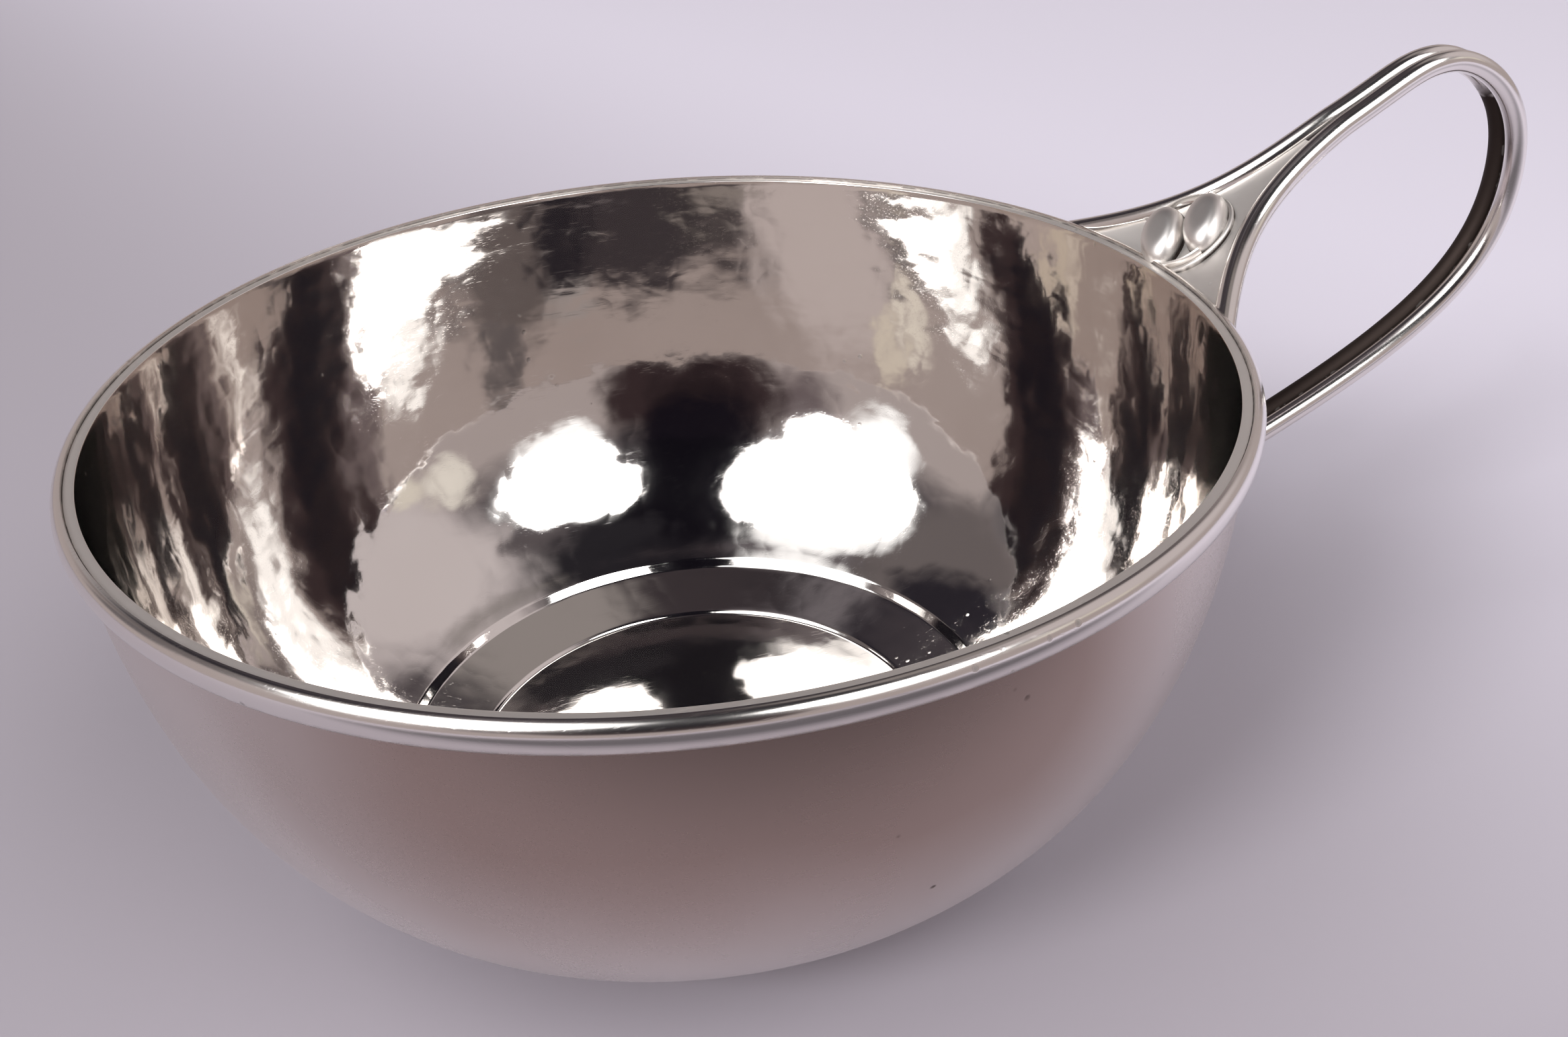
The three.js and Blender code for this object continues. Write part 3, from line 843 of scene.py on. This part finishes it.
class PORRINGER_OT_boss(bpy.types.Operator):
    """Make the two lobes and the husk round them"""

    bl_idname = "porringer.boss"
    bl_label = "Boss"
    LOBE_WIDTH = 1.12  # width of a lobe, in halves of the husk's opening
    LOBE_EDGE, LOBE_DOME = 4.5, 0.55  # exponents of a lobe's profile
    LIP = 0.15  # height of the husk's edges, in parts of its own height

    def execute(self, context):
        scene = context.scene
        boss, finish = scene.porringer_boss, scene.porringer_finish
        line = HandleLine(scene)
        rise = scene.porringer_plate.rise
        cast = silver_material("cast_silver", finish, finish.boss_roughness, film=0.3, pits=0.4)
        husk = self.husk(boss)
        self.lay(husk, line, boss, rise)
        piece = finished("silver_husk", husk, [cast])
        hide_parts("boss_collar")
        opening = boss.radius - boss.husk_width
        for side, name, node in ((-1, "silver_lobe_inner", "boss_lobe_inner"),
                                 (1, "silver_lobe_outer", "boss_lobe_outer")):
            bm = bmesh.new()
            bmesh.ops.create_uvsphere(bm, u_segments=64, v_segments=48, radius=1.0)
            geom = bm.verts[:] + bm.edges[:] + bm.faces[:]
            bmesh.ops.bisect_plane(bm, geom=geom, plane_co=(0, 0, -0.1), plane_no=(0, 0, 1),
                                   clear_inner=True)
            bmesh.ops.edgeloop_fill(bm, edges=[e for e in bm.edges if e.is_boundary])
            layer = bm.verts.layers.float.new(TARNISH_AND_SHADE)
            for vert in bm.verts:
                across = math.hypot(vert.co.x, vert.co.y)
                if vert.co.z > 0:
                    vert.co.z = max(1 - across ** self.LOBE_EDGE, 0.0) ** self.LOBE_DOME
                # Painted shade round the foot of each lobe, where it meets the plate.
                vert[layer] = smooth_step(0.42, 0.18, vert.co.z)
            half = opening / 2 * self.LOBE_WIDTH
            bmesh.ops.scale(bm, vec=(half, boss.lobe_length / 2, boss.lobe_height), verts=bm.verts)
            bmesh.ops.translate(bm, vec=(side * half, 0, 0), verts=bm.verts)
            bmesh.ops.rotate(bm, verts=bm.verts,
                             matrix=Matrix.Rotation(-boss.ridge_angle, 3, "Z"))
            bmesh.ops.translate(bm, vec=(0, boss.husk_swell / 2, 0), verts=bm.verts)
            self.lay(bm, line, boss, rise)
            bmesh.ops.recalc_face_normals(bm, faces=bm.faces)
            piece = finished(name, bm, [cast])
            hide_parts(node)
        return {"FINISHED"}

    def husk(self, boss):
        """Ring of two beads, the inner one higher, widest on its right side."""
        section = [Vector((0.5, 0.0))]
        steps = 12
        for middle, high in ((0.75, 1.0), (1.25, 0.5)):
            for i in range(steps + 1):
                turn = math.pi * i / steps
                section.append(Vector((middle - math.cos(turn) / 4,
                                       self.LIP + (high - self.LIP) * math.sin(turn))))
        section.append(Vector((1.5, 0.0)))
        bm = spun(section, 96, closed=True)
        layer = bm.verts.layers.float.new(TARNISH_AND_SHADE)
        for vert in bm.verts:
            radius = math.hypot(vert.co.x, vert.co.y)
            # Painted shade low on the husk, where it meets the plate.
            vert[layer] = smooth_step(0.45, 0.15, vert.co.z)
            around = math.atan2(vert.co.y, vert.co.x)
            width = boss.husk_width - boss.husk_swell * math.sin(around)
            radius = boss.radius - width / 2 + (radius - 1.0) * width
            vert.co = (radius * math.cos(around), radius * math.sin(around),
                       vert.co.z * boss.husk_height)
        return bm

    @staticmethod
    def lay(bm, line, boss, rise):
        """Bend a flat mesh on to the plate."""
        for vert in bm.verts:
            vert.co = line.on_surface(boss.out + vert.co.x, boss.aside + vert.co.y,
                                      rise + vert.co.z)


# Patches of the room: azimuth, elevation, half angles where each is full and where it ends,
# and colour, or None for a lamp's own glow. A later one covers those before it.
PATCHES = (
    # Paler and darker places behind the bowl and on its right
    (88, 40, 15, 32, (0.57, 0.51, 0.51)),
    (-130, 45, 12, 28, (0.14, 0.12, 0.12)),
    (-122, 20, 2, 12, (0.13, 0.115, 0.12)),
    (-155, 34, 2, 13, (0.40, 0.37, 0.37)),
    (130, 62, 4, 18, (0.28, 0.25, 0.24)),
    (-166, 60, 4, 13, (0.16, 0.142, 0.152)),
    (-156, 46, 10, 18, (0.022, 0.019, 0.025)),
    (176, 45, 10, 24, (0.05, 0.042, 0.048)),
    (168, 80, 3, 14, (0.045, 0.036, 0.040)),
    (-130, 74, 2, 13, (0.17, 0.15, 0.16)),
    (56, 60, 2, 10, (0.10, 0.085, 0.09)),
    (52, 27, 1, 8, (0.80, 0.75, 0.68)),
    (64, 21, 1, 9, (0.70, 0.64, 0.56)),
    # Soft edges of the three lamps
    (-70, 55, 17, 26, None),
    (-92, 66, 8, 16, None),
    (-76, 33, 7, 14, None),
    (27, 49, 11, 19, None),
    (22, 40, 10, 15, None),
    # Dark places towards the front and overhead
    (-50, 24, 2, 13, (0.14, 0.11, 0.115)),
    (-30, 25, 8, 17, (0.040, 0.026, 0.028)),
    (-8, 24, 6, 16, (0.038, 0.024, 0.026)),
    (-18, 20, 5, 12, (0.034, 0.022, 0.024)),
    (-22, 29, 8, 16, (0.020, 0.013, 0.015)),
    (-20, 38, 10, 18, (0.008, 0.006, 0.010)),
    (-20, 54, 11, 19, (0.005, 0.004, 0.007)),
    (-4, 72, 11, 20, (0.006, 0.005, 0.008)),
    (36, 75, 4, 12, (0.02, 0.018, 0.022)),
)


class PORRINGER_OT_stage(bpy.types.Operator):
    """Make the floor, the lamps, the room and the camera"""

    bl_idname = "porringer.stage"
    bl_label = "Studio"

    def execute(self, context):
        scene = context.scene
        studio = scene.porringer_studio
        bm = bmesh.new()
        bmesh.ops.create_circle(bm, cap_ends=True, segments=96, radius=4.0)
        bmesh.ops.translate(bm, vec=(0, 0, -0.05 * MM), verts=bm.verts)
        mesh = bpy.data.meshes.new("studio_floor")
        bm.to_mesh(mesh)
        bm.free()
        mesh.materials.append(paper_material(studio))
        floor = bpy.data.objects.new("studio_floor", mesh)
        scene.collection.objects.link(floor)
        self.lamp(scene, studio, "soft_box_left", (-70.3, 54.5), (0.84, 0.78), 0.5, 1.0)
        self.lamp(scene, studio, "soft_box_key", (-59.0, 36.5), (0.30, 0.26), 5.5, 0.97)
        self.lamp(scene, studio, "soft_box_right", (26.0, 49.4), (0.58, 0.60), 1.0, 1.0)
        self.room(scene, studio)
        self.camera(scene)
        scene.view_settings.view_transform = "Standard"
        return {"FINISHED"}

    @staticmethod
    def towards(azimuth, elevation):
        """Direction from the bowl, at an azimuth from the front and an elevation, in degrees."""
        a, e = math.radians(azimuth), math.radians(elevation)
        return Vector((math.sin(a) * math.cos(e), -math.cos(a) * math.cos(e), math.sin(e)))

    def lamp(self, scene, studio, name, angles, size, strength, nearness):
        """Oval soft box: its width and height are in parts of the distance, as is its nearness."""
        light = bpy.data.lights.new(name, "AREA")
        light.shape = "ELLIPSE"
        light.size, light.size_y = size[0] * studio.distance, size[1] * studio.distance
        area = math.pi / 4 * light.size * light.size_y
        light.energy = strength * studio.lamp * math.pi * area
        holder = bpy.data.objects.new(name, light)
        direction = self.towards(*angles)
        holder.location = direction * studio.distance * nearness
        holder.rotation_mode = "QUATERNION"
        holder.rotation_quaternion = direction.to_track_quat("Z", "Y")
        scene.collection.objects.link(holder)

    def room(self, scene, studio):
        """Dim room with pale walls low down, dark overhead, and a soft edge round each lamp."""
        world = bpy.data.worlds.new("studio_room")
        world.use_nodes = True
        scene.world = world
        tree = world.node_tree
        direction = tree.nodes.new("ShaderNodeTexCoord").outputs["Generated"]
        ramp = tree.nodes.new("ShaderNodeValToRGB")
        stops = ((0.0, (0.42, 0.36, 0.35)), (0.46, (0.40, 0.345, 0.335)),
                 (0.62, (0.10, 0.085, 0.09)), (0.80, (0.02, 0.018, 0.022)))
        while len(ramp.color_ramp.elements) < len(stops):
            ramp.color_ramp.elements.new(0.5)
        for element, (place, tint) in zip(ramp.color_ramp.elements, stops):
            element.position = place
            element.color = (*tint, 1.0)
        fill(tree, ramp, {"Fac": split_node(tree, direction)["Z"]})
        shade = ramp.outputs["Color"]
        uneven = noise_node(tree, direction, 3.5, output="Color")
        wobble = vector_node(tree, "MULTIPLY_ADD", uneven, (0.20, 0.20, 0.20), direction)
        wavy = vector_node(tree, "NORMALIZE",
                           vector_node(tree, "ADD", wobble, (-0.10, -0.10, -0.10)))
        for azimuth, elevation, full, end, tint in PATCHES:
            near = vector_node(tree, "DOT_PRODUCT", wavy, self.towards(azimuth, elevation))
            mask = range_node(tree, near, math.cos(math.radians(end)),
                              math.cos(math.radians(full)), 0.0, 1.0)
            shade = mix_node(tree, mask, shade, tint or (studio.glow,) * 3)
        fill(tree, tree.nodes["Background"], {"Color": shade, "Strength": studio.room})

    @staticmethod
    def camera(scene):
        """Camera where the photograph was taken from, as fitted to the lip and the rings."""
        data = bpy.data.cameras.new("studio_camera")
        data.sensor_width = 36.0
        data.lens = 34.148
        data.clip_start, data.clip_end = 0.005, 20.0
        camera = bpy.data.objects.new("studio_camera", data)
        place = Vector((-32.610, -136.160, 118.947)) * MM
        heading, tilt, roll = (Matrix.Rotation(math.radians(degrees), 4, axis) for degrees, axis
                               in ((-18.080, "Z"), (90 - 31.181, "X"), (-3.189, "Z")))
        camera.matrix_world = Matrix.Translation(place) @ (heading @ tilt @ roll)
        scene.collection.objects.link(camera)
        scene.camera = camera


class PORRINGER_PT_panel(bpy.types.Panel):
    """Sizes and buttons of the porringer"""

    bl_idname = "PORRINGER_PT_panel"
    bl_label = "Porringer"
    bl_space_type = "VIEW_3D"
    bl_region_type = "UI"
    bl_category = "Porringer"

    def draw(self, context):
        for operator in OPERATORS:
            self.layout.operator(operator.bl_idname)
        for key in SETTINGS:
            box = self.layout.box()
            group = getattr(context.scene, key)
            for prop in group.bl_rna.properties:
                if prop.identifier not in {"rna_type", "name"}:
                    box.prop(group, prop.identifier)


SETTINGS = {
    "porringer_bowl": PorringerBowl,
    "porringer_rim": PorringerRim,
    "porringer_handle": PorringerHandle,
    "porringer_plate": PorringerPlate,
    "porringer_boss": PorringerBoss,
    "porringer_finish": PorringerFinish,
    "porringer_studio": PorringerStudio,
}
OPERATORS = (PORRINGER_OT_bowl, PORRINGER_OT_rim, PORRINGER_OT_handle, PORRINGER_OT_plate,
             PORRINGER_OT_boss, PORRINGER_OT_stage)


def register():
    for group in SETTINGS.values():
        bpy.utils.register_class(group)
    for key, group in SETTINGS.items():
        setattr(bpy.types.Scene, key, PointerProperty(type=group))
    for operator in OPERATORS:
        bpy.utils.register_class(operator)
    bpy.utils.register_class(PORRINGER_PT_panel)


def unregister():
    bpy.utils.unregister_class(PORRINGER_PT_panel)
    for operator in reversed(OPERATORS):
        bpy.utils.unregister_class(operator)
    for key, group in SETTINGS.items():
        delattr(bpy.types.Scene, key)
        bpy.utils.unregister_class(group)


def main():
    """Build the porringer and its studio."""
    register()
    planishing_group()
    turning_group()
    scratches_group()
    tarnish_group()
    bpy.ops.porringer.bowl()
    bpy.ops.porringer.rim()
    bpy.ops.porringer.handle()
    bpy.ops.porringer.plate()
    bpy.ops.porringer.boss()
    bpy.ops.porringer.stage()


if __name__ == "__main__":
    main()
